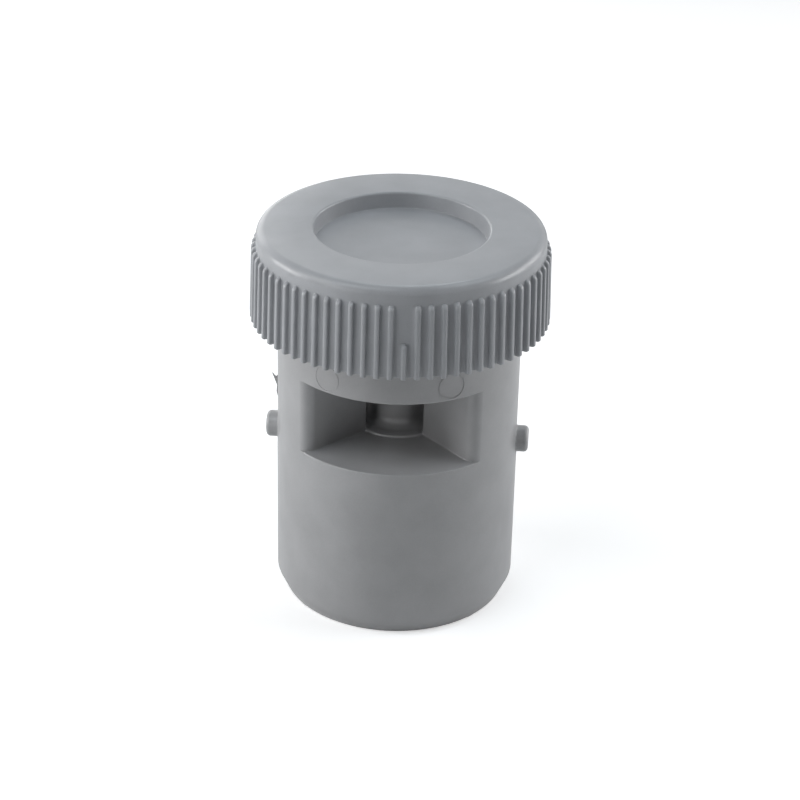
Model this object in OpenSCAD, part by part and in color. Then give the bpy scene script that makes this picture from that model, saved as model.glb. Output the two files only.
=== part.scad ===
// Air admittance valve for the end of a 40 mm waste pipe, in millimetres.
// Outside air enters the two windows, rises in the hub, lifts the rubber disc off its seat
// and runs down the two side ducts into the pipe. The disc falls back and keeps smells in.
// The origin is the centre of the spigot's foot. +Z points up to the cap, and the windows
// face -Y and +Y.

/* [Spigot and barrel] */
// Outer diameter of the spigot, which pushes into a 40 mm pipe socket
spigot_d = 40; // [38:0.5:48]
// Wall of the barrel
barrel_wall = 2; // [1.6:0.1:2.6]
// Height of the lead-in chamfer at the foot
foot_chamfer_h = 2.9; // [1:0.1:5]
// Depth of the lead-in chamfer at the foot
foot_chamfer_in = 1.35; // [0.5:0.05:1.4]
// Depth that the spigot goes into the socket, up to the stop pegs
insertion = 25.5; // [20:0.5:35]
// How much the barrel's radius narrows from the pegs up to the cap, as mould draft
barrel_draft = 0.06; // [0.03:0.01:0.15]

/* [Stop pegs] */
// Diameter of each stop peg
peg_d = 4.4; // [3:0.1:6]
// How far each peg stands out of the barrel
peg_out = 1.9; // [1:0.1:3]
// Rounding of the peg's end
peg_edge = 0.7; // [0.2:0.1:0.9]

/* [Windows] */
// Height of the window's sill above the pegs
sill_above_peg = 0.5; // [0.2:0.1:3]
// Height of each window
window_h = 12.7; // [9:0.1:18]
// Half the angle that a window takes out of the barrel
mouth_half_angle = 42.3; // [38:0.1:50]
// Half the angle that a window keeps at the hub
hub_half_angle = 38.8; // [34:0.1:44]
// Rounding where a window's side wall turns into the barrel
window_edge_r = 1.8; // [1.5:0.1:3]
// Thickness of the two side walls of each window
pocket_wall = 1.8; // [1.4:0.1:2.2]
// Thickness of the floor under the windows
floor_t = 2; // [1.5:0.1:3]
// Thickness of the deck above the windows
deck_t = 1.8; // [1.4:0.1:3]

/* [Hub and guide] */
// Radius of the open hub that carries the air up
hub_r = 7.4; // [6.8:0.1:8.4]
// Wall of the hub
hub_wall = 1.6; // [1.2:0.1:2]
// Height of the seat above the deck
seat_rise = 4.2; // [3:0.1:6]
// Width of the flat sealing lip on the seat
seat_lip = 0.7; // [0.5:0.1:1]
// Diameter of the guide boss in the hub
boss_d = 8.5; // [7:0.1:10]
// Height of the guide boss above the floor
boss_h = 10.7; // [9.5:0.1:12.5]
// Radius of the flare at the boss's root
boss_flare = 1.3; // [0.5:0.1:1.8]
// Height of the round pad that the boss stands on
pad_h = 0.4; // [0.2:0.1:1]

/* [Shutter] */
// How far the rubber disc lifts
lift = 4; // [2.5:0.1:5]
// Thickness of the rubber disc
disc_t = 1.2; // [0.8:0.1:2]
// How far the rubber disc reaches past the seat
disc_over = 2.6; // [1.5:0.1:4]
// Radius of the hole in the rubber disc
disc_hole_r = 3.2; // [2.8:0.1:4]
// Diameter of the carrier's stem
stem_d = 3.2; // [2.4:0.1:4]
// Radial clearance of the stem in its guide
stem_clear = 0.08; // [0.05:0.01:0.1]
// Depth that the closed stem reaches into its guide
stem_in_guide = 8; // [6.5:0.1:8.5]
// Thickness of the carrier's plate on top of the rubber disc
plate_t = 1; // [0.8:0.1:1.6]
// Thickness of the collar under the rubber disc
collar_t = 1; // [0.8:0.1:1.4]
// Thickness of the four webs under the collar
web_t = 1; // [0.8:0.1:1.4]

/* [Cap] */
// Height of the whole valve
total_h = 64.8; // [64:0.1:72]
// Ring gap between the barrel and the inside of the cap's skirt
skirt_gap = 2; // [1.5:0.1:4]
// Wall of the cap's skirt
skirt_wall = 1.5; // [1.2:0.1:1.8]
// Height of the cap
cap_h = 15.1; // [14.5:0.1:18]
// Rounding of the cap's top edge
cap_edge_r = 1.5; // [1:0.1:3]
// Thickness of the cap's top
cap_t = 2.2; // [1.8:0.1:2.6]
// Chamfer round the skirt's lower lip
lip_chamfer = 0.45; // [0.2:0.05:0.8]
// Radius of the round recess in the top
recess_r = 14.1; // [10:0.1:15]
// Depth of the recess
recess_depth = 2.7; // [1.5:0.1:3.5]
// Rounding of the recess's rim
recess_rim_r = 0.4; // [0.2:0.1:0.8]
// Draft of the recess's wall, over its whole depth
recess_draft = 0.25; // [0:0.05:0.5]

/* [Grip ribs] */
// Number of grip ribs
rib_count = 72; // [48:4:80]
// Width of each rib
rib_w = 0.76; // [0.5:0.02:0.9]
// How far each rib stands out of the skirt
rib_out = 0.8; // [0.4:0.02:1]
// Gap between the top of the ribs and the start of the cap's rounding
rib_top_gap = 1.4; // [0.3:0.1:3]
// Height of the one short marker rib
marker_h = 5.9; // [3:0.1:9]
// Angle of the marker rib from the middle of the front window
marker_angle = 6.5; // [0:0.5:20]

/* [Cap fixing] */
// Radial clearance between the cap and the barrel
cap_clear = 0.1; // [0.05:0.01:0.2]
// Number of centring ribs inside the skirt
centring_count = 12; // [6:1:18]
// Thickness of each centring rib
centring_t = 1.2; // [0.8:0.1:1.6]
// Length of each centring rib
centring_h = 9.6; // [8:0.1:11]
// Height of the snap bead below the barrel's rim
bead_drop = 4; // [3:0.1:6]
// How far the snap bead stands out of the barrel
bead_out = 0.4; // [0.2:0.05:0.6]
// Radius of the stop boss under the cap
stop_boss_r = 3; // [2:0.1:4]

/* [Moulding marks] */
// Radius of the two round marks above each window
mark_r = 2.3; // [1.5:0.1:3]
// Width of the raised line of a round mark
mark_line = 0.16; // [0.1:0.02:0.3]
// Height of the raised line of a round mark
mark_out = 0.07; // [0.04:0.01:0.15]
// Angle of each round mark from the middle of its window
mark_angle = 30; // [20:1:40]
// Height of the round marks above the window
mark_rise = 2.4; // [2.4:0.1:4]
// Thickness of the torn sliver of flash on the parting line
flash_t = 0.3; // [0.2:0.05:0.6]
// Height of the sliver of flash above the stop pegs
flash_rise = 3.4; // [2:0.1:8]

/* [Hidden] */
$fn = 128;
// Overlap that joins the solids of one moulding
eps = 0.2;
barrel_r = spigot_d / 2;
bore_r = barrel_r - barrel_wall;
peg_z = insertion + peg_d / 2;
sill_z = insertion + peg_d + sill_above_peg;
head_z = sill_z + window_h;
deck_z = head_z + deck_t;
seat_z = deck_z + seat_rise;
boss_top_z = sill_z + boss_h;
lip_z = total_h - cap_h;
rim_z = total_h - cap_t;
bead_z = rim_z - bead_drop;
// The barrel's radius at a height above the pegs
function barrel_at(z) = barrel_r - barrel_draft * (z - insertion) / (rim_z - insertion);
// The side wall of a window runs from its end at the hub out to the barrel
wall_foot = hub_r * [sin(hub_half_angle), -cos(hub_half_angle)];
wall_mouth = barrel_r * [sin(mouth_half_angle), -cos(mouth_half_angle)];
wall_dir = (wall_mouth - wall_foot) / norm(wall_mouth - wall_foot);
wall_side = [-wall_dir.y, wall_dir.x];
far_r = 2 * barrel_r;
// Centre of the round that turns the side wall into the barrel
edge_start = wall_foot + wall_side * window_edge_r;
edge_reach = barrel_at(sill_z) - window_edge_r;
edge_along = -edge_start * wall_dir
    + sqrt(pow(edge_start * wall_dir, 2) - edge_start * edge_start + edge_reach * edge_reach);
edge_centre = edge_start + wall_dir * edge_along;
edge_on_wall = edge_centre - wall_side * window_edge_r;
edge_out = edge_centre / norm(edge_centre);
// The disc reaches past the seat, and the carrier's plate stops inside its edge
seat_r = hub_r + hub_wall;
disc_r = seat_r + disc_over;
plate_in = 1.2;
plate_r = disc_r - plate_in;
stem_r = stem_d / 2;
guide_r = stem_r + stem_clear;
guide_end_gap = 1;
guide_floor_z = boss_top_z - stem_in_guide - guide_end_gap;
carrier_top_z = seat_z + disc_t + plate_t;
cap_skirt_in = barrel_r + skirt_gap;
skirt_r = cap_skirt_in + skirt_wall;
recess_floor_z = total_h - recess_depth;
stop_gap = 0.1;
rib_r = rib_w / 2;
rib_axis_r = skirt_r + rib_out - rib_r;
rib_root_in = 0.5;
rib_root_r = skirt_r - rib_root_in;
rib_h = cap_h - cap_edge_r - rib_top_gap - rib_r;

// A rectangle of a revolved profile, from one radius and height to another
module band(r0, r1, z0, z1) {
    translate([r0, z0]) square([r1 - r0, z1 - z0]);
}

// Both copies of a shape, in front and behind
module front_and_back() {
    children();
    mirror([0, 1, 0]) children();
}

// Both copies of a shape, to the right and to the left
module right_and_left() {
    children();
    mirror([1, 0, 0]) children();
}

// Plan of one window between its two side walls, from inside the hub to past the barrel,
// moved out by the walls' thickness
module pocket_plan(grow = 0) {
    near = wall_foot + wall_side * grow - wall_dir * hub_wall;
    far = near + wall_dir * far_r;
    polygon([near, far, [-far.x, far.y], [-near.x, near.y]]);
}

// Plan of the corner that the round at the window's upright edge leaves open
module window_edge_plan() {
    lap = wall_side * -eps;
    difference() {
        polygon([
            edge_centre,
            edge_on_wall,
            edge_on_wall + lap,
            edge_on_wall + wall_dir * far_r + lap,
            edge_out * far_r
        ]);
        translate(edge_centre) circle(window_edge_r);
    }
}

// Outside of the barrel from the foot to the rim, with the bead that the cap snaps over
module barrel() {
    bead_low = bead_z - bead_out;
    bead_high = bead_z + 1.5 * bead_out;
    rotate_extrude() {
        polygon([
            [0, 0],
            [barrel_r - foot_chamfer_in, 0],
            [barrel_r, foot_chamfer_h],
            [barrel_r, insertion],
            [barrel_at(bead_low), bead_low],
            [barrel_at(bead_z) + bead_out, bead_z],
            [barrel_at(bead_high), bead_high],
            [barrel_at(rim_z), rim_z],
            [0, rim_z]
        ]);
    }
}

// Floor, side walls and deck of the two windows, with the hub that rises to the seat
module window_walls() {
    floor_under_z = sill_z - floor_t;
    translate([0, 0, floor_under_z]) linear_extrude(deck_z - floor_under_z) {
        front_and_back() pocket_plan(pocket_wall);
    }
    rotate_extrude() {
        polygon([
            [0, floor_under_z],
            [seat_r, floor_under_z],
            [seat_r, seat_z - hub_wall + seat_lip],
            [hub_r + seat_lip, seat_z],
            [0, seat_z]
        ]);
    }
}

// Inside of the barrel: the pipe's air space, the two side ducts and the chamber round the seat
module pipe_space() {
    difference() {
        translate([0, 0, -1]) cylinder(r = bore_r, h = rim_z + 2);
        window_walls();
    }
}

// Air space of the two windows and the hub
module window_space() {
    translate([0, 0, sill_z]) {
        linear_extrude(window_h) front_and_back() {
            pocket_plan();
            right_and_left() window_edge_plan();
        }
        cylinder(r = hub_r, h = seat_z - sill_z + 1);
    }
}

// Guide boss with its flared root on a low round pad
module guide_boss() {
    boss_r = boss_d / 2;
    pad_r = hub_r + 0.1;
    flare_z = sill_z + pad_h;
    difference() {
        rotate_extrude() {
            band(0, pad_r, sill_z - floor_t / 2, flare_z);
            band(0, boss_r, sill_z, boss_top_z);
            difference() {
                band(0, boss_r + boss_flare, sill_z, flare_z + boss_flare);
                translate([boss_r + boss_flare, flare_z + boss_flare]) circle(boss_flare);
            }
        }
        translate([0, 0, guide_floor_z]) cylinder(r = guide_r, h = boss_top_z - guide_floor_z + 1);
    }
}

// One stop peg on +X, with a rounded end
module stop_peg() {
    peg_r = peg_d / 2;
    root_x = bore_r + barrel_wall / 2;
    tip_x = barrel_r + peg_out;
    translate([root_x, 0, peg_z]) rotate([0, 90, 0]) rotate_extrude() {
        band(0, peg_r, 0, tip_x - root_x - peg_edge);
        band(0, peg_r - peg_edge, 0, tip_x - root_x);
        intersection() {
            translate([peg_r - peg_edge, tip_x - root_x - peg_edge]) circle(peg_edge);
            band(0, peg_r, 0, tip_x - root_x);
        }
    }
}

// Round mark that an ejector leaves beside the middle of a window, as a fine raised line
module round_mark() {
    mark_z = head_z + mark_rise;
    intersection() {
        rotate([0, 0, mark_angle - 90]) translate([0, 0, mark_z]) rotate([0, 90, 0]) difference() {
            cylinder(r = mark_r, h = far_r);
            cylinder(r = mark_r - mark_line, h = far_r);
        }
        rotate_extrude() {
            polygon([
                [bore_r + barrel_wall / 2, head_z],
                [barrel_at(head_z) + mark_out, head_z],
                [barrel_at(lip_z) + mark_out, lip_z],
                [bore_r + barrel_wall / 2, lip_z]
            ]);
        }
    }
}

// Torn sliver of flash on the parting line at -X
module flash_sliver() {
    root_x = barrel_wall / 2;
    translate([-barrel_r, flash_t / 2, insertion + peg_d + flash_rise]) rotate([90, 0, 0]) linear_extrude(flash_t) {
        polygon([[root_x, 0], [0, 0], [-0.3, 1.2], [-0.2, 2.4], [-1, 4.6], [-0.4, 3.9], [0, 4.3], [root_x, 4.3]]);
    }
}

// Body: spigot, barrel, windows, hub with its seat, guide boss and stop pegs in one moulding
module valve_body() {
    color([0.42, 0.43, 0.44]) {
        difference() {
            barrel();
            pipe_space();
            window_space();
        }
        guide_boss();
        right_and_left() stop_peg();
        front_and_back() right_and_left() round_mark();
        flash_sliver();
    }
}

// Rubber disc that closes the seat
module membrane() {
    color([0.12, 0.12, 0.13]) translate([0, 0, seat_z]) difference() {
        rotate_extrude() {
            band(0, disc_r - disc_t / 2, 0, disc_t);
            translate([disc_r - disc_t / 2, disc_t / 2]) circle(disc_t / 2);
        }
        translate([0, 0, -1]) cylinder(r = disc_hole_r, h = disc_t + 2);
    }
}

// Carrier: plate above the rubber disc, neck through it, collar below it and guided stem
module membrane_carrier() {
    neck_clear = 0.05;
    neck_r = disc_hole_r - neck_clear;
    collar_over = 0.9;
    collar_r = disc_hole_r + collar_over;
    tip_chamfer = 0.4;
    stem_tip_z = boss_top_z - stem_in_guide;
    stem_edge_z = stem_tip_z + tip_chamfer;
    collar_z = seat_z - collar_t;
    web_gap = 1;
    web_h = collar_z - boss_top_z - web_gap;
    web_r = collar_r - 0.3;
    color([0.85, 0.85, 0.83]) {
        rotate_extrude() {
            band(0, plate_r, seat_z + disc_t, carrier_top_z);
            band(0, neck_r, seat_z - collar_t / 2, carrier_top_z);
            band(0, collar_r, collar_z, seat_z);
            band(0, stem_r, stem_edge_z, seat_z);
            polygon([[0, stem_tip_z], [stem_r - tip_chamfer, stem_tip_z], [stem_r, stem_edge_z], [0, stem_edge_z]]);
        }
        for (turn = [0:90:270]) {
            rotate([0, 0, turn]) translate([0, web_t / 2, collar_z + collar_t / 2]) rotate([90, 0, 0]) {
                linear_extrude(web_t) {
                    polygon([[0, 0], [web_r, 0], [web_r, -collar_t], [stem_r, -web_h], [0, -web_h]]);
                }
            }
        }
    }
}

// One grip rib with a rounded ridge and a rounded top, standing on the lip
module grip_rib(height) {
    root = rib_axis_r - rib_root_r;
    translate([rib_axis_r, 0, 0]) {
        cylinder(r = rib_r, h = height);
        translate([0, 0, height]) sphere(r = rib_r);
    }
    translate([rib_root_r, -rib_r, 0]) cube([root, rib_w, height]);
    translate([rib_root_r, 0, height]) rotate([0, 90, 0]) cylinder(r = rib_r, h = root);
}

// Shell of the cap with its round recess
module cap_shell() {
    well_r = recess_r + cap_t;
    rotate_extrude() {
        difference() {
            union() {
                difference() {
                    band(0, skirt_r, lip_z, total_h);
                    band(-1, cap_skirt_in, lip_z - 1, rim_z);
                    translate([skirt_r - cap_edge_r, total_h - cap_edge_r]) difference() {
                        square(cap_edge_r + 1);
                        circle(cap_edge_r);
                    }
                    polygon([
                        [skirt_r - lip_chamfer, lip_z - 0.01],
                        [skirt_r + 0.01, lip_z - 0.01],
                        [skirt_r + 0.01, lip_z + lip_chamfer]
                    ]);
                }
                band(0, well_r, recess_floor_z - cap_t, total_h - recess_depth / 2);
                band(0, stop_boss_r, carrier_top_z + lift + stop_gap, recess_floor_z);
            }
            polygon([
                [0, recess_floor_z],
                [recess_r - recess_draft, recess_floor_z],
                [recess_r, total_h - recess_rim_r],
                [recess_r + recess_rim_r, total_h - recess_rim_r],
                [recess_r + recess_rim_r, total_h + 1],
                [0, total_h + 1]
            ]);
        }
        translate([recess_r + recess_rim_r, total_h - recess_rim_r]) circle(recess_rim_r);
    }
}

// Ribs inside the skirt that centre the cap on the barrel and snap over its bead
module centring_ribs() {
    in_r = barrel_r + cap_clear;
    low_z = rim_z - centring_h;
    difference() {
        for (turn = [0:360 / centring_count:359]) {
            rotate([0, 0, turn]) translate([in_r, -centring_t / 2, low_z]) {
                cube([cap_skirt_in + skirt_wall / 2 - in_r, centring_t, centring_h + eps]);
            }
        }
        rotate_extrude() {
            groove_r = barrel_r + bead_out + cap_clear;
            polygon([
                [in_r - 1, bead_z - 3 * bead_out],
                [in_r, bead_z - 2 * bead_out],
                [groove_r, bead_z - bead_out / 2],
                [groove_r, bead_z + bead_out / 2],
                [in_r, bead_z + 3 * bead_out],
                [in_r - 1, bead_z + 3 * bead_out]
            ]);
        }
    }
}

// Cap with its grip ribs, one of them short, in one moulding
module cap() {
    color([0.45, 0.46, 0.48]) {
        cap_shell();
        centring_ribs();
        for (i = [0:rib_count - 1]) {
            rotate([0, 0, marker_angle - 90 + i * 360 / rib_count]) translate([0, 0, lip_z]) {
                grip_rib(i == 0 ? marker_h - rib_r : rib_h);
            }
        }
    }
}

valve_body();
membrane();
membrane_carrier();
cap();
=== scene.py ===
"""Air admittance valve: its moulded body and ribbed cap, their finishes and a plain studio."""

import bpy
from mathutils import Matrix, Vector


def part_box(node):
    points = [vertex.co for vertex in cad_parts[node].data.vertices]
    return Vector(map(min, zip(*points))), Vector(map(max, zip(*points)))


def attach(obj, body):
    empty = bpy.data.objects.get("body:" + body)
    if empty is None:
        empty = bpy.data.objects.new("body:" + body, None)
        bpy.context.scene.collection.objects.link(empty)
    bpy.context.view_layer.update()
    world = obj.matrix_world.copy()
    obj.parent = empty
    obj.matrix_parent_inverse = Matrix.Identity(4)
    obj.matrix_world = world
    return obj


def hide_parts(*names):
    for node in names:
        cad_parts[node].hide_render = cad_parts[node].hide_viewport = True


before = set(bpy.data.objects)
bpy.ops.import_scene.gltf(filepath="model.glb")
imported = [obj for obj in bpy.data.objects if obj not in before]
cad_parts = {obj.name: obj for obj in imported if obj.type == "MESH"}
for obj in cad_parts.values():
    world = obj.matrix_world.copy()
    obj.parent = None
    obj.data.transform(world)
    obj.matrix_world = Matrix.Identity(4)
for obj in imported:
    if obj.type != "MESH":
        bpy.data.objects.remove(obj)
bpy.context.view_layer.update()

from math import cos, degrees, pi, radians, sin, sqrt

import bmesh
import bpy
from bpy.props import FloatProperty, FloatVectorProperty, IntProperty, PointerProperty
from mathutils import Matrix, Vector

bl_info = {
    "name": "Air Admittance Valve",
    "version": (1, 0, 0),
    "blender": (4, 5, 0),
    "location": "3D View > Sidebar > Valve",
    "description": "Moulded body and ribbed cap of an air admittance valve, and a studio",
    "category": "Add Mesh",
}

MM = 0.001
UP = (0.0, 0.0, 1.0)
ACROSS = (0.0, 1.0, 0.0)
OUT = (1.0, 0.0, 0.0)
CENTRE = (0.0, 0.0, 0.0)
CAP_LOW, CAP_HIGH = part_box("cap")

# Steps of a full turn of the barrel
TURN_STEPS = 360
# Distance in millimetres below which points are merged
WELD = 2e-4
# Angle past which the mould rounds an edge, and past which shading stays crisp
ROUNDED_EDGE = radians(32.0)
CRISP_EDGE = radians(42.0)


def length(label, text, millimetres):
    """A size of the valve, given in millimetres."""
    return FloatProperty(
        name=label, description=text, default=millimetres * MM, min=0.0, unit="LENGTH", precision=5
    )


def angle(label, text, value):
    """An angle of the valve, given in degrees."""
    return FloatProperty(
        name=label, description=text, default=radians(value), subtype="ANGLE", unit="ROTATION"
    )


def tint(label, text, colour):
    """A colour that a user may change."""
    return FloatVectorProperty(
        name=label, description=text, default=colour, min=0.0, max=1.0, subtype="COLOR"
    )


def factor(label, text, value, highest=1.0):
    """A plain factor, such as a roughness."""
    return FloatProperty(name=label, description=text, default=value, min=0.0, max=highest)


def number(label, text, value, lowest, highest):
    """How many there are of something."""
    return IntProperty(name=label, description=text, default=value, min=lowest, max=highest)


class ValveBodySizes(bpy.types.PropertyGroup):
    """Sizes of the body moulding."""

    barrel_r: length("Barrel radius", "Outer radius of the spigot and barrel", 20.0)
    bore_r: length("Bore radius", "Inner radius of the pipe", 18.0)
    foot_chamfer_h: length("Foot chamfer height", "Height of the lead-in at the foot", 2.9)
    foot_chamfer_in: length("Foot chamfer depth", "Depth of the lead-in at the foot", 1.35)
    insertion: length("Insertion", "Depth that the spigot goes into its socket", 25.5)
    draft: length("Barrel draft", "How much the barrel narrows from the pegs to the rim", 0.2)
    rim_z: length("Rim height", "Height of the barrel's rim under the cap", 62.6)
    bead_z: length("Bead height", "Height of the snap bead", 58.6)
    bead_out: length("Bead", "How far the snap bead stands out", 0.4)
    peg_r: length("Peg radius", "Radius of each stop peg", 2.2)
    peg_out: length("Peg length", "How far each stop peg stands out", 1.9)
    peg_edge: length("Peg edge", "Rounding of the peg's end", 0.7)
    peg_z: length("Peg height", "Height of the pegs' axis", 27.7)
    sill_z: length("Sill height", "Height of the windows' floor", 30.4)
    head_z: length("Head height", "Height of the windows' ceiling", 43.1)
    floor_t: length("Floor", "Thickness of the floor under the windows", 2.0)
    deck_t: length("Deck", "Thickness of the deck above the windows", 1.8)
    pocket_wall: length("Window wall", "Thickness of the windows' side walls", 1.8)
    edge_r: length("Window edge", "Rounding where a side wall turns into the barrel", 1.8)
    mouth_half: angle("Mouth", "Half the angle that a window takes out of the barrel", 42.3)
    hub_half: angle("Hub opening", "Half the angle that a window keeps at the hub", 38.8)
    hub_r: length("Hub radius", "Inner radius of the hub", 7.4)
    hub_wall: length("Hub wall", "Wall of the hub", 1.6)
    seat_z: length("Seat height", "Height of the disc's seat", 49.1)
    seat_lip: length("Seat lip", "Width of the flat sealing lip", 0.7)
    boss_r: length("Boss radius", "Radius of the guide boss", 4.3)
    boss_top_z: length("Boss height", "Height of the guide boss's end", 41.1)
    boss_flare: length("Boss flare", "Radius of the flare at the boss's root", 1.7)
    pad_h: length("Pad", "Height of the round pad under the boss", 0.4)
    guide_r: length("Guide radius", "Radius of the stem's guide hole", 1.68)
    guide_floor_z: length("Guide floor", "Height of the guide hole's floor", 32.1)
    mark_r: length("Mark radius", "Radius of the round ejector marks", 2.3)
    mark_line: length("Mark line", "Width of a mark's raised line", 0.2)
    mark_out: length("Mark relief", "Height of a clear mark's raised line", 0.09)
    faint_out: length("Faint relief", "Height of a faint mark's raised line", 0.04)
    mark_z: length("Mark height", "Height of the marks' centres", 45.65)
    mark_angle: angle("Mark angle", "Angle of a mark from the middle of its window", 30.0)
    flash_z: length("Flash height", "Height of the torn sliver of flash", 32.6)
    flash_t: length("Flash", "Thickness of the sliver of flash", 0.3)
    edge: length("Edge softness", "Rounding that the mould leaves on each edge", 0.2)
    corner_free: length("Sharp corners", "Reach of the sharp edges at a window's corners", 1.4)


class ValveCapSizes(bpy.types.PropertyGroup):
    """Sizes of the ribbed cap."""

    lip_z: length("Lip height", "Height of the skirt's lower lip", CAP_LOW.z / MM)
    top_z: length("Top height", "Height of the cap's top", CAP_HIGH.z / MM)
    skirt_r: length("Skirt radius", "Radius of the skirt between the ribs, at its lip", 23.65)
    skirt_draft: length("Skirt draft", "How much the skirt narrows up to the ribs' tops", 0.32)
    skirt_in: length("Skirt bore", "Inner radius of the skirt", 22.0)
    under_z: length("Underside", "Height of the cap's underside", 62.6)
    edge_r: length("Top edge", "Rounding of the cap's top edge", 1.5)
    lip_chamfer: length("Lip chamfer", "Chamfer round the lower lip", 0.22)
    recess_r: length("Recess radius", "Radius of the round recess", 14.1)
    recess_z: length("Recess floor", "Height of the recess's floor", 62.1)
    recess_rim: length("Recess rim", "Rounding of the recess's rim", 0.4)
    recess_draft: length("Recess draft", "Draft of the recess's wall", 0.25)
    recess_root: length("Recess root", "Rounding where the recess's wall meets its floor", 0.12)
    well_r: length("Well radius", "Outer radius of the recess's well under the top", 16.3)
    well_z: length("Well height", "Height of the well's underside", 59.9)
    stop_r: length("Stop radius", "Radius of the stop boss under the cap", 3.0)
    stop_z: length("Stop height", "Height of the stop boss's end", 55.4)
    rib_count: number("Grip ribs", "Number of grip ribs", 72, 24, 90)
    rib_r: length("Rib radius", "Half the width of a rib, and the rounding of its ridge", 0.42)
    rib_axis_r: length("Rib centre", "Radius about which the ridges are rounded, at the lip", 24.0)
    rib_fall: length("Rib fall", "Height over which a rib's top falls back to the skirt", 0.9)
    rib_h: length("Rib height", "Height of the straight part of a rib", 11.82)
    marker_h: length("Marker rib", "Height of the straight part of the one short rib", 5.52)
    marker_angle: angle("Marker angle", "Angle of the short rib from the window's middle", 6.5)
    centring_count: number("Centring ribs", "Ribs inside the skirt", 12, 6, 18)
    centring_r: length("Centring radius", "Radius to which the centring ribs reach in", 20.1)
    centring_t: length("Centring rib", "Thickness of a centring rib", 1.2)
    centring_z: length("Centring foot", "Height of the centring ribs' lower ends", 53.0)


class ValveFinish(bpy.types.PropertyGroup):
    """Colours and gloss of the finishes."""

    body: tint("Body plastic", "Colour of the body's moulded plastic", (0.364, 0.364, 0.37))
    cap: tint("Cap plastic", "Colour of the cap's moulded plastic", (0.363, 0.371, 0.388))
    rubber: tint("Rubber", "Colour of the disc's rubber", (0.035, 0.035, 0.037))
    carrier: tint("Carrier plastic", "Colour of the carrier's natural plastic", (0.72, 0.71, 0.66))
    gloss: factor("Roughness", "Roughness of the moulded plastic", 0.31)
    grain: factor("Grain", "Strength of the mould's fine grain", 0.12)


class ValveStudio(bpy.types.PropertyGroup):
    """Camera, floor and lights."""

    azimuth: angle("Azimuth", "Turn of the camera from the middle of the front window", 4.7)
    elevation: angle("Elevation", "Height of the camera above the horizon", 27.915)
    roll: angle("Roll", "Turn of the camera round its own axis", 1.318)
    distance: length("Distance", "Distance from the camera to its aim", 387.24)
    aim_z: length("Aim height", "Height of the camera's aim", 33.47)
    aim_side: length("Aim side", "Shift of the aim to the camera's right", 0.336)
    lens: FloatProperty(name="Lens", description="Focal length", default=105.05, unit="CAMERA")
    floor: tint("Floor", "Colour of the floor", (0.9, 0.9, 0.9))
    floor_half: length("Floor size", "Half the width of the floor", 3000.0)
    backdrop: factor("Backdrop", "Glow of the floor as the camera sees it", 0.45)
    reflected: factor("Reflections", "Brightness of the room that the valve reflects", 1.16, 10.0)
    light: factor("Light", "Share of the softboxes' full power", 1.0, 10.0)
    light_distance: length("Light distance", "Distance from the softboxes to the valve", 450.0)
    light_aim_z: length("Light aim", "Height that the softboxes are aimed at", 38.0)
    cool: tint("High lights", "Colour of the softboxes that shine from high up", (0.88, 0.95, 1.0))


def sizes_of(group):
    """A property group's values, with its lengths in millimetres."""
    values = {}
    for key, prop in group.bl_rna.properties.items():
        if prop.type in {"FLOAT", "INT"} and not getattr(prop, "is_array", False):
            value = getattr(group, key)
            values[key] = value / MM if prop.unit == "LENGTH" else value
    return values


class Pen:
    """Draws an outline in a bmesh: a profile in the XZ plane, or a plan in the XY plane."""

    def __init__(self, x, y=0.0, z=0.0, bm=None):
        self.bm = bm or bmesh.new()
        self.first = self.last = self.bm.verts.new((x, y, z))

    def line(self, x, y, z):
        """A straight line to a point."""
        new = bmesh.ops.extrude_vert_indiv(self.bm, verts=[self.last])
        self.last = new["verts"][0]
        self.last.co = (x, y, z)
        return self

    def to(self, r, z):
        """A straight line of a profile to a radius and a height."""
        return self.line(r, 0.0, z)

    def arc(self, centre, turn, steps, axis):
        """An arc about a centre and an axis, by an angle in degrees."""
        new = bmesh.ops.spin(
            self.bm, geom=[self.last], cent=centre, axis=axis, dvec=CENTRE,
            angle=radians(turn), steps=steps, use_merge=False, use_duplicate=False,
        )
        self.last = next(item for item in new["geom_last"] if isinstance(item, bmesh.types.BMVert))
        return self

    def round(self, r, z, turn, steps):
        """An arc of a profile about a radius and a height, clockwise where positive."""
        return self.arc((r, 0.0, z), turn, steps, ACROSS)

    def close(self):
        """A straight line back to the first point."""
        self.bm.edges.new((self.last, self.first))
        return self


def spun(pen, steps=TURN_STEPS, axis=UP, centre=CENTRE):
    """Turns a profile into a closed solid of revolution."""
    bm = pen.bm
    bmesh.ops.spin(
        bm, geom=bm.verts[:] + bm.edges[:], cent=centre, axis=axis, dvec=CENTRE,
        angle=2.0 * pi, steps=steps, use_merge=True, use_normal_flip=False, use_duplicate=False,
    )
    bmesh.ops.remove_doubles(bm, verts=bm.verts, dist=WELD)
    bmesh.ops.dissolve_degenerate(bm, edges=bm.edges, dist=WELD / 2.0)
    bmesh.ops.recalc_face_normals(bm, faces=bm.faces)
    return bm


def raised(bm, faces, height):
    """Extrudes faces upwards and returns the new top faces."""
    new = bmesh.ops.extrude_face_region(bm, geom=faces)["geom"]
    verts = [item for item in new if isinstance(item, bmesh.types.BMVert)]
    bmesh.ops.translate(bm, verts=verts, vec=(0.0, 0.0, height))
    return [item for item in new if isinstance(item, bmesh.types.BMFace)]


def solid(name, bm):
    """A helper object in millimetres, from a bmesh."""
    bmesh.ops.recalc_face_normals(bm, faces=bm.faces)
    mesh = bpy.data.meshes.new(name)
    bm.to_mesh(mesh)
    bm.free()
    helper = bpy.data.objects.new(name, mesh)
    bpy.context.scene.collection.objects.link(helper)
    return helper


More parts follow.
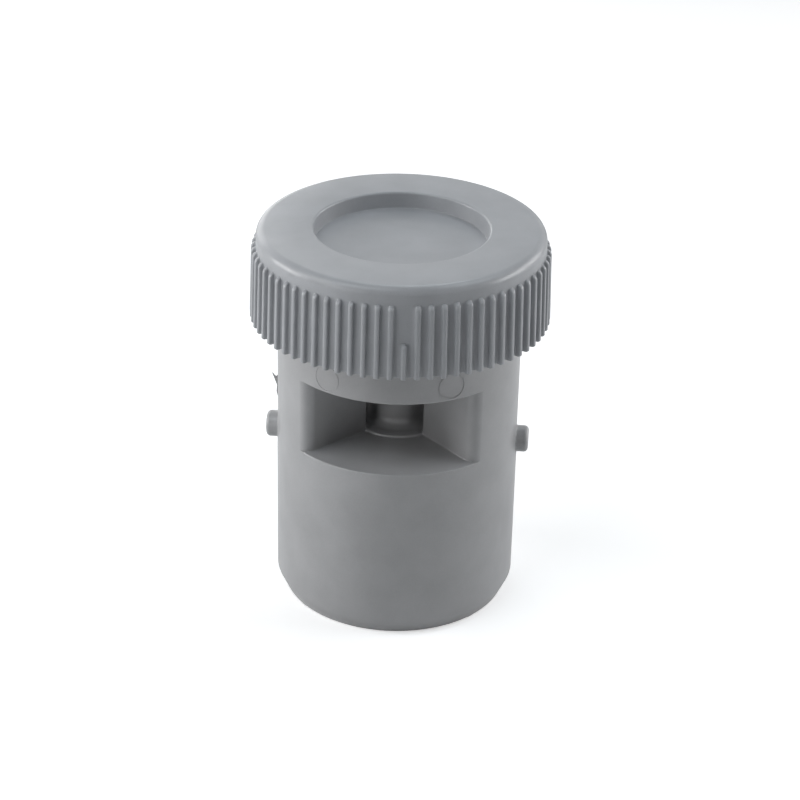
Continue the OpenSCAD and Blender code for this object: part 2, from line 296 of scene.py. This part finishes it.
def settled(target):
    """A helper whose modifiers have become its mesh."""
    bpy.context.view_layer.update()
    depsgraph = bpy.context.evaluated_depsgraph_get()
    mesh = bpy.data.meshes.new_from_object(target.evaluated_get(depsgraph))
    target.modifiers.clear()
    target.data = mesh
    return target


def combine(target, tool, operation):
    """Joins, cuts or trims a helper with another, which is used up."""
    step = target.modifiers.new("Combine", "BOOLEAN")
    step.operation = operation
    step.solver = "EXACT"
    step.object = tool
    settled(target)
    bpy.data.objects.remove(tool)
    return target


def softened(target, width, is_rounded):
    """A helper whose corners are rounded as a mould leaves them, where is_rounded says so."""
    bm = bmesh.new()
    bm.from_mesh(target.data)
    bmesh.ops.remove_doubles(bm, verts=bm.verts, dist=WELD)
    bmesh.ops.dissolve_degenerate(bm, edges=bm.edges, dist=WELD)
    weight = bm.edges.layers.float.new("bevel_weight_edge")
    for edge in bm.edges:
        middle = (edge.verts[0].co + edge.verts[1].co) / 2.0
        if edge.calc_face_angle(0.0) > ROUNDED_EDGE and is_rounded(middle):
            edge[weight] = 1.0
    bm.to_mesh(target.data)
    bm.free()
    step = target.modifiers.new("Mould edges", "BEVEL")
    step.width = width
    step.segments = 3
    step.limit_method = "WEIGHT"
    step.miter_outer = "MITER_ARC"
    step.use_clamp_overlap = False
    return settled(target)


def finished(name, helper, material):
    """A welded piece in metres, on the housing, with its finish."""
    bm = bmesh.new()
    bm.from_mesh(helper.data)
    bmesh.ops.remove_doubles(bm, verts=bm.verts, dist=WELD)
    bmesh.ops.dissolve_degenerate(bm, edges=bm.edges, dist=WELD)
    open_edges = sum(1 for edge in bm.edges if len(edge.link_faces) != 2)
    if open_edges:
        print(f"{name}: {open_edges} edges of its skin aren't shared by two faces")
    bmesh.ops.scale(bm, verts=bm.verts, vec=(MM, MM, MM))
    mesh = bpy.data.meshes.new(name)
    bm.to_mesh(mesh)
    bm.free()
    bpy.data.objects.remove(helper)
    piece = bpy.data.objects.new(name, mesh)
    bpy.context.scene.collection.objects.link(piece)
    mesh.materials.append(material)
    mesh.shade_smooth()
    mesh.set_sharp_from_angle(angle=CRISP_EDGE)
    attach(piece, "housing")
    return piece


class Nodes:
    """Short calls for a material's node tree."""

    def __init__(self, tree):
        self.tree = tree
        tree.nodes.clear()

    def add(self, kind, **values):
        """A new node with its settings and its unlinked inputs, whose spaces are written as _."""
        node = self.tree.nodes.new(kind)
        for key, value in values.items():
            if hasattr(node, key):
                setattr(node, key, value)
            else:
                node.inputs[key.replace("_", " ")].default_value = value
        return node

    def link(self, source, output, target, socket):
        """A link from a node's output to another node's input."""
        self.tree.links.new(source.outputs[output], target.inputs[socket])


# Noise scales on coordinates in metres: broad clouds, upright smears and fine specks
CLOUD_SCALE, SMEAR_SCALE, SPECK_SCALE = 140.0, 260.0, 5200.0
SMEAR_STRETCH = (1.0, 1.0, 0.22)
# The range that a noise fills well, and the tones that clouds and specks give the colour there
NOISE_LOW, NOISE_HIGH = 0.35, 0.7
CLOUD_TONES = ((0.3, 0.93), (0.72, 1.06))
SPECK_TONES = (0.97, 1.03)
# How far the roughness falls and rises along the smears
WEAR = (-0.03, 0.07)
GRAIN_DEPTH, FLOW_DEPTH, FLOW_STRENGTH = 0.03 * MM, 0.04 * MM, 0.35
# Sockets of a Mix node that mixes colours
MIX_A, MIX_B, MIX_RESULT = 6, 7, 2


def spread(tree, noise, low, high):
    """A noise turned into values from low to high."""
    node = tree.add(
        "ShaderNodeMapRange", From_Min=NOISE_LOW, From_Max=NOISE_HIGH, To_Min=low, To_Max=high
    )
    tree.link(noise, "Fac", node, "Value")
    return node


def moulded(name, colour, rough, grain, cloud_size=1.0):
    """Moulded plastic with faint clouding, handling marks and the fine grain of the mould."""
    material = bpy.data.materials.new(name)
    material.use_nodes = True
    tree = Nodes(material.node_tree)
    out = tree.add("ShaderNodeOutputMaterial")
    shader = tree.add("ShaderNodeBsdfPrincipled", IOR=1.5)
    tree.link(shader, "BSDF", out, "Surface")

    place = tree.add("ShaderNodeTexCoord")
    clouds = tree.add(
        "ShaderNodeTexNoise", Scale=CLOUD_SCALE * cloud_size, Detail=4.0, Roughness=0.55
    )
    specks = tree.add("ShaderNodeTexNoise", Scale=SPECK_SCALE, Detail=2.0, Roughness=0.6)
    smears = tree.add("ShaderNodeTexNoise", Scale=SMEAR_SCALE, Detail=3.0, Roughness=0.5)
    stretch = tree.add("ShaderNodeMapping", Scale=SMEAR_STRETCH)
    for target in (clouds, specks, stretch):
        tree.link(place, "Object", target, "Vector")
    tree.link(stretch, "Vector", smears, "Vector")

    tone = tree.add("ShaderNodeValToRGB")
    for stop, (position, strength) in zip(tone.color_ramp.elements, CLOUD_TONES):
        stop.position = position
        stop.color = (*(min(1.0, channel * strength) for channel in colour), 1.0)
    tree.link(clouds, "Fac", tone, "Fac")
    speckled = tree.add("ShaderNodeMix", data_type="RGBA", blend_type="MULTIPLY", Factor=1.0)
    tree.link(tone, "Color", speckled, MIX_A)
    tree.link(spread(tree, specks, *SPECK_TONES), "Result", speckled, MIX_B)
    tree.link(speckled, MIX_RESULT, shader, "Base Color")
    wear = spread(tree, smears, rough + WEAR[0], rough + WEAR[1])
    tree.link(wear, "Result", shader, "Roughness")

    skin = tree.add("ShaderNodeBump", Strength=grain, Distance=GRAIN_DEPTH)
    flow = tree.add("ShaderNodeBump", Strength=FLOW_STRENGTH, Distance=FLOW_DEPTH)
    tree.link(specks, "Fac", skin, "Height")
    tree.link(clouds, "Fac", flow, "Height")
    tree.link(flow, "Normal", skin, "Normal")
    tree.link(skin, "Normal", shader, "Normal")
    return material


def rubber(name, colour):
    """Matt moulded rubber with a dusty bloom."""
    material = moulded(name, colour, rough=0.62, grain=0.3, cloud_size=2.0)
    shader = material.node_tree.nodes["Principled BSDF"]
    shader.inputs["Specular IOR Level"].default_value = 0.35
    shader.inputs["Sheen Weight"].default_value = 0.15
    return material


def body_walls(s):
    """Floor, side walls and deck of the windows, and the hub with its seat, inside the barrel.

    Also gives a window's side wall in plan: its foot at the hub, its run and its normal.
    """
    foot = Vector((sin(s["hub_half"]), -cos(s["hub_half"]))) * s["hub_r"]
    mouth = Vector((sin(s["mouth_half"]), -cos(s["mouth_half"]))) * s["barrel_r"]
    along = (mouth - foot).normalized()
    side = Vector((-along.y, along.x))
    low = s["sill_z"] - s["floor_t"]
    seat_r = s["hub_r"] + s["hub_wall"]
    hub = Pen(0.0, 0.0, low).to(seat_r, low).to(seat_r, s["seat_z"] - s["hub_wall"] + s["seat_lip"])
    hub.to(s["hub_r"] + s["seat_lip"], s["seat_z"]).to(0.0, s["seat_z"])
    walls = solid("hub", spun(hub))
    near = foot + side * s["pocket_wall"] - along * s["hub_wall"]
    far = near + along * 2.0 * s["barrel_r"]
    for facing in (1.0, -1.0):
        plan = Pen(near.x, near.y * facing, low)
        for x, y in ((far.x, far.y), (-far.x, far.y), (-near.x, near.y)):
            plan.line(x, y * facing, low)
        plan.close()
        face = plan.bm.faces.new(plan.bm.verts[:])
        raised(plan.bm, [face], s["head_z"] + s["deck_t"] - low)
        combine(walls, solid("wedge", plan.bm), "UNION")
    middle_r = (s["barrel_r"] + s["bore_r"]) / 2.0
    clip = Pen(0.0, 0.0, 0.0).to(middle_r, 0.0).to(middle_r, s["rim_z"]).to(0.0, s["rim_z"])
    return combine(walls, solid("clip", spun(clip)), "INTERSECT"), foot, along, side


# Steps of the round at a window's side, and of the hub's arcs in and between the windows
SIDE_STEPS, OPEN_STEPS, SHUT_STEPS = 20, 72, 80
# How far in millimetres the round at a window's side passes through the barrel's skin
CROSSING = 0.004


def window_space(s, foot, along, side):
    """Air space of both windows and the hub, with the rounds from the side walls to the barrel.

    Also gives the place in plan where a round meets the barrel.
    """
    low, edge_r = s["sill_z"], s["edge_r"]
    start = foot + side * edge_r
    reach = barrel_at(s, low) - edge_r + CROSSING
    run = -start.dot(along) + sqrt(start.dot(along) ** 2 - start.length_squared + reach ** 2)
    centre = start + along * run
    on_wall = centre - side * edge_r
    outward = centre.normalized()
    on_barrel = centre + outward * edge_r
    far = centre + outward * s["barrel_r"]
    turn = 180.0 - degrees(side.angle(outward))
    hub_open = 2.0 * degrees(s["hub_half"])
    hub_shut = 180.0 - hub_open
    bm = bmesh.new()
    window = Pen(foot.x, foot.y, low, bm).line(on_wall.x, on_wall.y, low)
    window.arc((centre.x, centre.y, low), turn, SIDE_STEPS, UP)
    window.line(far.x, far.y, low).line(-far.x, far.y, low).line(-on_barrel.x, on_barrel.y, low)
    window.arc((-centre.x, centre.y, low), turn, SIDE_STEPS, UP)
    window.line(-foot.x, foot.y, low).arc((0.0, 0.0, low), hub_open, OPEN_STEPS, UP)
    bmesh.ops.pointmerge(bm, verts=[window.first, window.last], merge_co=window.first.co)
    bmesh.ops.contextual_create(bm, geom=bm.edges[:])
    bmesh.ops.mirror(bm, geom=bm.verts[:] + bm.edges[:] + bm.faces[:], axis="Y", merge_dist=0.0)
    known = set(bm.edges)
    hub = Pen(foot.x, foot.y, low, bm)
    for swing, steps in ((hub_shut, SHUT_STEPS), (hub_open, OPEN_STEPS)) * 2:
        hub.arc((0.0, 0.0, low), swing, steps, UP)
    bmesh.ops.pointmerge(bm, verts=[hub.first, hub.last], merge_co=hub.first.co)
    bmesh.ops.contextual_create(bm, geom=[edge for edge in bm.edges if edge not in known])
    bmesh.ops.remove_doubles(bm, verts=bm.verts, dist=WELD)
    tops = raised(bm, bm.faces[:], s["head_z"] - low)
    near_axis, past_seat = 1.0, 1.0
    hub_top = [face for face in tops if face.calc_center_median().xy.length < near_axis]
    raised(bm, hub_top, s["seat_z"] - s["head_z"] + past_seat)
    bmesh.ops.delete(bm, geom=hub_top, context="FACES_ONLY")
    return solid("window_space", bm), on_barrel


def barrel_steps(s):
    """Heights and radii of the barrel, which narrows upwards but is straight beside the windows."""
    beside = s["barrel_r"] - s["draft"] / 2.0
    margin = 0.35
    return (
        (s["insertion"], s["barrel_r"]),
        (s["sill_z"] - margin, beside),
        (s["head_z"] + margin, beside),
        (s["rim_z"], s["barrel_r"] - s["draft"]),
    )


def barrel_at(s, z):
    """The barrel's radius at a height above the pegs."""
    steps = barrel_steps(s)
    for (low, low_r), (high, high_r) in zip(steps, steps[1:]):
        if z <= high:
            return low_r + (high_r - low_r) * max(0.0, z - low) / (high - low)
    return steps[-1][1]


def barrel_tube(s):
    """Tube of the barrel from its chamfered foot to the rim, with the snap bead."""
    r, bead = s["barrel_r"], s["bead_out"]
    lead_in = 1.5 * bead
    low, high = s["bead_z"] - bead, s["bead_z"] + lead_in
    tube = Pen(s["bore_r"]).to(r - s["foot_chamfer_in"], 0.0).to(r, s["foot_chamfer_h"])
    for z, r_here in barrel_steps(s)[:-1]:
        tube.to(r_here, z)
    tube.to(barrel_at(s, low), low).to(barrel_at(s, s["bead_z"]) + bead, s["bead_z"])
    tube.to(barrel_at(s, high), high).to(barrel_at(s, s["rim_z"]), s["rim_z"])
    tube.to(s["bore_r"], s["rim_z"]).close()
    return solid("tube", spun(tube))


def guide_boss(s):
    """Guide boss with its flared root on a low round pad, and the stem's hole."""
    low = s["sill_z"] - s["floor_t"] / 2.0
    pad_z = s["sill_z"] + s["pad_h"]
    bite = 0.1
    pad_r = s["hub_r"] + bite
    flare = s["boss_flare"]
    boss = Pen(0.0, 0.0, low).to(pad_r, low).to(pad_r, pad_z).to(s["boss_r"] + flare, pad_z)
    boss.round(s["boss_r"] + flare, pad_z + flare, turn=90.0, steps=8)
    boss.to(s["boss_r"], s["boss_top_z"]).to(s["guide_r"], s["boss_top_z"])
    boss.to(s["guide_r"], s["guide_floor_z"]).to(0.0, s["guide_floor_z"])
    return solid("boss", spun(boss, steps=160))


def stop_peg(s, facing):
    """One stop peg with a rounded end."""
    root = (s["bore_r"] + s["barrel_r"]) / 2.0
    tip = s["barrel_r"] + s["peg_out"]
    r, edge, z = s["peg_r"], s["peg_edge"], s["peg_z"]
    peg = Pen(root, 0.0, z).to(root, z + r).to(tip - edge, z + r)
    peg.round(tip - edge, z + r - edge, turn=90.0, steps=8).to(tip, z)
    bm = spun(peg, steps=72, axis=OUT, centre=(0.0, 0.0, z))
    if facing < 0:
        bmesh.ops.rotate(bm, verts=bm.verts, cent=CENTRE, matrix=Matrix.Rotation(pi, 3, "Z"))
    return solid("peg", bm)


def round_mark(s, turn, relief):
    """One round ejector mark: a fine raised ring laid on the barrel."""
    root = 0.8
    ring = Pen(s["mark_r"] - s["mark_line"], 0.0, -root).to(s["mark_r"], -root)
    ring.to(s["mark_r"], relief).to(s["mark_r"] - s["mark_line"], relief).close()
    bm = spun(ring, steps=64)
    for vert in bm.verts:
        across, up, out = vert.co
        z = s["mark_z"] + up
        r = barrel_at(s, z) + out
        at = turn + across / s["barrel_r"]
        vert.co = (r * sin(at), -r * cos(at), z)
    return solid("mark", bm)


# The torn sliver's outline in millimetres: out of the barrel's skin, and up from its foot
TORN_EDGE = (
    (1.0, 0.0), (0.0, 0.0), (-0.3, 1.2), (-0.2, 2.4),
    (-1.0, 4.6), (-0.4, 3.9), (0.0, 4.3), (1.0, 4.3),
)


def flash_sliver(s):
    """Torn sliver of flash on the parting line."""
    bm = bmesh.new()
    front = s["flash_t"] / 2.0
    rim = [bm.verts.new((x - s["barrel_r"], front, s["flash_z"] + z)) for x, z in TORN_EDGE]
    face = bm.faces.new(rim)
    new = bmesh.ops.extrude_face_region(bm, geom=[face])["geom"]
    verts = [item for item in new if isinstance(item, bmesh.types.BMVert)]
    bmesh.ops.translate(bm, verts=verts, vec=(0.0, -s["flash_t"], 0.0))
    return solid("flash", bm)


def is_soft(at, s, corner):
    """Whether the mould rounds the body here: not at marks, flash and a window's narrow corners."""
    skin, clear = 0.5, 0.03
    on_mark = at.xy.length > s["barrel_r"] - skin and abs(at.z - s["mark_z"]) < s["mark_r"] + clear
    flash_low = s["flash_z"] - 0.1
    on_flash = at.x < -s["bore_r"] and abs(at.y) < s["flash_t"] and at.z > flash_low
    away = Vector((abs(at.x) - corner.x, abs(at.y) + corner.y)).length
    return not (on_mark or on_flash or away < s["corner_free"])


class VALVE_OT_body(bpy.types.Operator):
    """Makes the body moulding: spigot, barrel, windows, hub, guide boss and stop pegs"""

    bl_idname = "valve.body"
    bl_label = "Body Moulding"

    def execute(self, context):
        s = sizes_of(context.scene.valve_body)
        finish = context.scene.valve_finish
        walls, foot, along, side = body_walls(s)
        body = barrel_tube(s)
        combine(body, walls, "UNION")
        space, corner = window_space(s, foot, along, side)
        combine(body, space, "DIFFERENCE")
        combine(body, guide_boss(s), "UNION")
        for facing in (1.0, -1.0):
            combine(body, stop_peg(s, facing), "UNION")
        for middle in (0.0, pi):
            combine(body, round_mark(s, middle + s["mark_angle"], s["mark_out"]), "UNION")
            combine(body, round_mark(s, middle - s["mark_angle"], s["faint_out"]), "UNION")
        combine(body, flash_sliver(s), "UNION")
        softened(body, s["edge"], lambda at: is_soft(at, s, corner))
        plastic = moulded("body plastic", finish.body, finish.gloss, finish.grain)
        piece = finished("body_moulding", body, plastic)
        even = piece.modifiers.new("Even shading", "WEIGHTED_NORMAL")
        even.keep_sharp = True
        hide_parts("valve_body")
        return {"FINISHED"}


# Mesh columns of half a rib, as shares of its half width from its middle. The first ones lie on
# the ridge, the next one on its root and the last one on the skirt beside it.
RIB_OFFSETS = (0.0, 0.37, 0.685, 0.908, 0.992, 1.06, 1.32)
ROOT_STEP = 5
RIB_COLUMNS = 2 * len(RIB_OFFSETS)
# Mesh rows at a rib's top, as shares of its half width above its straight part
RIB_TOP_ROWS = (1.06, 0.975, 0.88, 0.7, 0.4, 0.0, -0.45, -0.9, -1.4)
# A ridge is rounded by this power: 2 would be a circle, and more is flatter
RIDGE_POWER = 3.0
# In millimetres: how far a root stands out, and how far and high a foot is drawn in at the lip
ROOT_OUT, FOOT_IN, FOOT_H = 0.07, 0.12, 0.1


def quarter_fall(rise):
    """Share that is left of a form whose end falls away in a quarter round from 0 to 1."""
    return 1.0 if rise <= 0.0 else sqrt(max(0.0, 1.0 - rise * rise))


def draft_at(z, s):
    """How much the skirt and its ribs have narrowed at a height above the lip."""
    return s["skirt_draft"] * min(1.0, max(0.0, (z - s["lip_z"]) / s["rib_h"]))


def cap_profile(s):
    """Half section of the cap, from the recess over the top, down the skirt and back under it."""
    wall_r = s["recess_r"] - s["recess_draft"]
    root, rim, top, lip = s["recess_root"], s["recess_rim"], s["top_z"], s["lip_z"]
    # The recess's wall leans outwards, so the round at its root stops short of upright
    root_turn = -88.0
    pen = Pen(0.0, 0.0, s["recess_z"]).to(wall_r - root, s["recess_z"])
    pen.round(wall_r - root, s["recess_z"] + root, root_turn, steps=5)
    pen.to(s["recess_r"], top - rim)
    pen.round(s["recess_r"] + rim, top - rim, turn=90.0, steps=6)
    edge_x = s["skirt_r"] - s["skirt_draft"] - s["edge_r"]
    pen.to(edge_x, top).round(edge_x, top - s["edge_r"], turn=90.0, steps=14)
    for straight in (s["rib_h"], s["marker_h"]):
        for row in RIB_TOP_ROWS:
            z = lip + straight + row * s["rib_r"]
            pen.to(s["skirt_r"] - draft_at(z, s), z)
    chamfer, soft, blend = s["lip_chamfer"], 0.1, 0.4
    pen.to(s["skirt_r"], lip + chamfer).to(s["skirt_r"] - chamfer + soft, lip + soft)
    pen.to(s["skirt_r"] - chamfer, lip)
    pen.to(s["skirt_in"] + soft, lip).to(s["skirt_in"], lip + soft)
    under, well_r, well_z = s["under_z"], s["well_r"], s["well_z"]
    stop_r, stop_z = s["stop_r"], s["stop_z"]
    pen.to(s["skirt_in"], under - blend)
    pen.round(s["skirt_in"] - blend, under - blend, turn=-90.0, steps=3)
    pen.to(well_r + blend, under)
    pen.round(well_r + blend, under - blend, turn=-90.0, steps=3)
    pen.to(well_r, well_z + blend)
    pen.round(well_r - blend, well_z + blend, turn=90.0, steps=3)
    pen.to(stop_r + blend, well_z)
    pen.round(stop_r + blend, well_z - blend, turn=-90.0, steps=3)
    return pen.to(stop_r, stop_z + soft).to(stop_r - soft, stop_z).to(0.0, stop_z)


def rib_and_place(x, y, count):
    """The rib that a mesh column belongs to, and the column's place from the rib's middle."""
    columns = RIB_COLUMNS * count
    turn = Vector((x, y)).angle_signed(Vector((1.0, 0.0))) % (2.0 * pi)
    rib, place = divmod(round(turn / (2.0 * pi) * columns) % columns, RIB_COLUMNS)
    if place > RIB_COLUMNS // 2:
        rib, place = (rib + 1) % count, place - RIB_COLUMNS
    return rib, place


def ridge_radius(step, left, z, top, s):
    """Radius of a rib's ridge at one of its columns, where a share of its width is left."""
    round_off = (1.0 - RIB_OFFSETS[step] ** RIDGE_POWER) ** (1.0 / RIDGE_POWER)
    out = s["rib_axis_r"] + left * s["rib_r"] * round_off - s["skirt_r"]
    out -= FOOT_IN * max(0.0, 1.0 - (z - s["lip_z"]) / FOOT_H)
    fall = quarter_fall((z - top - s["rib_r"]) / s["rib_fall"] + 1.0)
    return s["skirt_r"] - draft_at(z, s) + out * fall


def raise_ribs(bm, s):
    """Draws the spun skirt out into grip ribs with rounded ridges, tops and roots."""
    count, rib_r = s["rib_count"], s["rib_r"]
    pitch = 2.0 * pi / count
    marker_turn = s["marker_angle"] - pi / 2.0
    first = marker_turn % pitch
    tops = [s["lip_z"] + s["rib_h"]] * count
    tops[round((marker_turn - first) / pitch) % count] = s["lip_z"] + s["marker_h"]
    over_tops, off_bore, on_axis = 0.01, 0.3, 0.01
    highest = s["lip_z"] + s["rib_h"] + RIB_TOP_ROWS[0] * rib_r + over_tops
    inside = s["skirt_in"] + off_bore
    for vert in bm.verts:
        x, y, z = vert.co
        r = sqrt(x * x + y * y)
        if r < on_axis:
            continue
        rib, place = rib_and_place(x, y, count)
        step = abs(place)
        on_rib = step < len(RIB_OFFSETS)
        offset = RIB_OFFSETS[step] * rib_r if on_rib else pitch * s["skirt_r"] / 2.0
        left = quarter_fall((z - tops[rib]) / rib_r)
        if inside < r and z < highest and left > 0.0:
            if left < 1.0 and on_rib:
                offset = min(offset, rib_r) * left + max(0.0, offset - rib_r)
            if step < ROOT_STEP:
                r = ridge_radius(step, left, z, tops[rib], s)
            elif step == ROOT_STEP:
                r += ROOT_OUT
        sign = 1.0 if place >= 0 else -1.0
        at = first + rib * pitch + sign * offset / s["skirt_r"]
        vert.co = (r * cos(at), r * sin(at), z)


def centring_ribs(s):
    """Ribs inside the skirt that centre the cap on the barrel."""
    bm = bmesh.new()
    bite = 0.2
    out_r = (s["skirt_in"] + s["skirt_r"]) / 2.0
    high = s["under_z"] + bite
    size = (out_r - s["centring_r"], s["centring_t"], high - s["centring_z"])
    middle = ((s["centring_r"] + out_r) / 2.0, 0.0, (s["centring_z"] + high) / 2.0)
    made = bmesh.ops.create_cube(bm, size=1.0)
    bmesh.ops.scale(bm, verts=made["verts"], vec=size)
    bmesh.ops.translate(bm, verts=made["verts"], vec=middle)
    count = s["centring_count"]
    bmesh.ops.spin(
        bm, geom=bm.verts[:] + bm.edges[:] + bm.faces[:], cent=CENTRE, axis=UP, dvec=CENTRE,
        angle=2.0 * pi * (count - 1) / count, steps=count - 1, use_merge=False, use_duplicate=True,
    )
    return solid("centring_ribs", bm)


class VALVE_OT_cap(bpy.types.Operator):
    """Makes the cap with its round recess and grip ribs, one of them short"""

    bl_idname = "valve.cap"
    bl_label = "Ribbed Cap"

    def execute(self, context):
        s = sizes_of(context.scene.valve_cap)
        finish = context.scene.valve_finish
        bm = spun(cap_profile(s), RIB_COLUMNS * s["rib_count"])
        raise_ribs(bm, s)
        cap = combine(solid("cap_skin", bm), centring_ribs(s), "UNION")
        plastic = moulded("cap plastic", finish.cap, finish.gloss, finish.grain)
        piece = finished("ribbed_cap", cap, plastic)
        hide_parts("cap")
        return {"FINISHED"}


class VALVE_OT_shutter(bpy.types.Operator):
    """Gives the rubber disc and its carrier their finishes"""

    bl_idname = "valve.shutter"
    bl_label = "Shutter Finishes"

    def execute(self, context):
        finish = context.scene.valve_finish
        natural = moulded("natural plastic", finish.carrier, rough=0.45, grain=finish.grain)
        made = {"membrane": rubber("black rubber", finish.rubber), "membrane_carrier": natural}
        for node, material in made.items():
            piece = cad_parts[node]
            piece.data.materials.clear()
            piece.data.materials.append(material)
        return {"FINISHED"}


# Each softbox: its turn and rise round the valve in degrees, its width in millimetres, its watts
SOFTBOXES = {
    "left_softbox": (-90, 10, 200, 1.0),
    "left_front_softbox": (-65, 35, 200, 0.33),
    "left_front_low_softbox": (-40, 10, 200, 0.24),
    "left_front_high_softbox": (-40, 60, 200, 0.41),
    "left_back_softbox": (-150, 15, 300, 0.46),
    "back_high_softbox": (180, 60, 200, 0.34),
    "right_softbox": (95, 10, 200, 0.67),
    "right_high_softbox": (93, 60, 160, 0.31),
    "right_back_softbox": (120, 15, 200, 0.5),
}
# The rise past which a softbox counts as high and shines cooler
HIGH_RISE = 50


def softbox(name, turn, rise, width, power, distance, aim_z):
    """A soft square light, placed by its turn and rise round the valve and aimed at it."""
    data = bpy.data.lights.new(name, "AREA")
    data.shape = "SQUARE"
    data.size = width * MM
    data.energy = power
    light = bpy.data.objects.new(name, data)
    out = Vector((sin(turn) * cos(rise), -cos(turn) * cos(rise), sin(rise)))
    light.location = Vector((0.0, 0.0, aim_z)) + out * distance
    light.rotation_euler = out.to_track_quat("Z", "Y").to_euler()
    bpy.context.scene.collection.objects.link(light)
    return light


def surroundings(strength):
    """Pale surroundings that show in reflections only, and look plain white themselves."""
    world = bpy.data.worlds.new("surroundings")
    world.use_nodes = True
    tree = Nodes(world.node_tree)
    out = tree.add("ShaderNodeOutputWorld")
    glow = tree.add("ShaderNodeBackground")
    path = tree.add("ShaderNodeLightPath")
    reflected = tree.add("ShaderNodeMapRange", To_Max=strength)
    seen = tree.add("ShaderNodeMath", operation="MAXIMUM")
    tree.link(path, "Is Glossy Ray", reflected, "Value")
    tree.link(path, "Is Camera Ray", seen, 0)
    tree.link(reflected, "Result", seen, 1)
    tree.link(seen, "Value", glow, "Strength")
    tree.link(glow, "Background", out, "Surface")
    return world


def white_paper(colour, glow):
    """A pale matt floor that is lit from behind, as the camera sees it."""
    paper = bpy.data.materials.new("white paper")
    paper.use_nodes = True
    tree = Nodes(paper.node_tree)
    out = tree.add("ShaderNodeOutputMaterial")
    sheet = tree.add("ShaderNodeBsdfDiffuse", Color=(*colour, 1.0))
    behind = tree.add("ShaderNodeEmission")
    path = tree.add("ShaderNodeLightPath")
    seen = tree.add("ShaderNodeMapRange", To_Max=glow)
    both = tree.add("ShaderNodeAddShader")
    tree.link(path, "Is Camera Ray", seen, "Value")
    tree.link(seen, "Result", behind, "Strength")
    tree.link(sheet, "BSDF", both, 0)
    tree.link(behind, "Emission", both, 1)
    tree.link(both, "Shader", out, "Surface")
    return paper


def paper_floor(studio):
    """A wide sheet of white paper under the valve."""
    bm = bmesh.new()
    bmesh.ops.create_grid(bm, x_segments=8, y_segments=8, size=studio.floor_half)
    mesh = bpy.data.meshes.new("floor")
    bm.to_mesh(mesh)
    bm.free()
    mesh.materials.append(white_paper(studio.floor, studio.backdrop))
    floor = bpy.data.objects.new("floor", mesh)
    bpy.context.scene.collection.objects.link(floor)
    return floor


def placed_camera(studio):
    """The camera at the photograph's viewing angle."""
    data = bpy.data.cameras.new("camera")
    data.lens = studio.lens
    data.sensor_width = 36.0
    camera = bpy.data.objects.new("camera", data)
    turn, rise = studio.azimuth, studio.elevation
    back = Vector((sin(turn) * cos(rise), -cos(turn) * cos(rise), sin(rise)))
    aim = Vector((cos(turn), sin(turn), 0.0)) * studio.aim_side + Vector(UP) * studio.aim_z
    view = back.to_track_quat("Z", "Y").to_matrix() @ Matrix.Rotation(studio.roll, 3, "Z")
    camera.matrix_world = Matrix.Translation(aim + back * studio.distance) @ view.to_4x4()
    bpy.context.scene.collection.objects.link(camera)
    return camera


class VALVE_OT_studio(bpy.types.Operator):
    """Makes the floor, the soft lights and the camera"""

    bl_idname = "valve.studio"
    bl_label = "Studio"

    def execute(self, context):
        studio = context.scene.valve_studio
        paper_floor(studio)
        context.scene.world = surroundings(studio.reflected)
        distance, aim_z = studio.light_distance, studio.light_aim_z
        for name, (turn, rise, width, watts) in SOFTBOXES.items():
            power = watts * studio.light
            light = softbox(name, radians(turn), radians(rise), width, power, distance, aim_z)
            if rise > HIGH_RISE:
                light.data.color = studio.cool
        context.scene.camera = placed_camera(studio)
        context.scene.view_settings.view_transform = "Standard"
        return {"FINISHED"}


class VALVE_PT_panel(bpy.types.Panel):
    """Lists the steps that make the valve"""

    bl_idname = "VALVE_PT_panel"
    bl_label = "Air Admittance Valve"
    bl_space_type = "VIEW_3D"
    bl_region_type = "UI"
    bl_category = "Valve"

    def draw(self, context):
        for step in STEPS:
            self.layout.operator(step.bl_idname)
        self.layout.prop(context.scene.valve_finish, "body")
        self.layout.prop(context.scene.valve_finish, "cap")


STEPS = (VALVE_OT_body, VALVE_OT_cap, VALVE_OT_shutter, VALVE_OT_studio)
GROUPS = {
    "valve_body": ValveBodySizes,
    "valve_cap": ValveCapSizes,
    "valve_finish": ValveFinish,
    "valve_studio": ValveStudio,
}


def register():
    for group in (*GROUPS.values(), *STEPS, VALVE_PT_panel):
        bpy.utils.register_class(group)
    for key, group in GROUPS.items():
        setattr(bpy.types.Scene, key, PointerProperty(type=group))


def unregister():
    for key in GROUPS:
        delattr(bpy.types.Scene, key)
    for group in (VALVE_PT_panel, *reversed(STEPS), *reversed(GROUPS.values())):
        bpy.utils.unregister_class(group)


def main():
    """Makes the valve and its studio."""
    register()
    bpy.ops.valve.body()
    bpy.ops.valve.cap()
    bpy.ops.valve.shutter()
    bpy.ops.valve.studio()


if __name__ == "__main__":
    main()
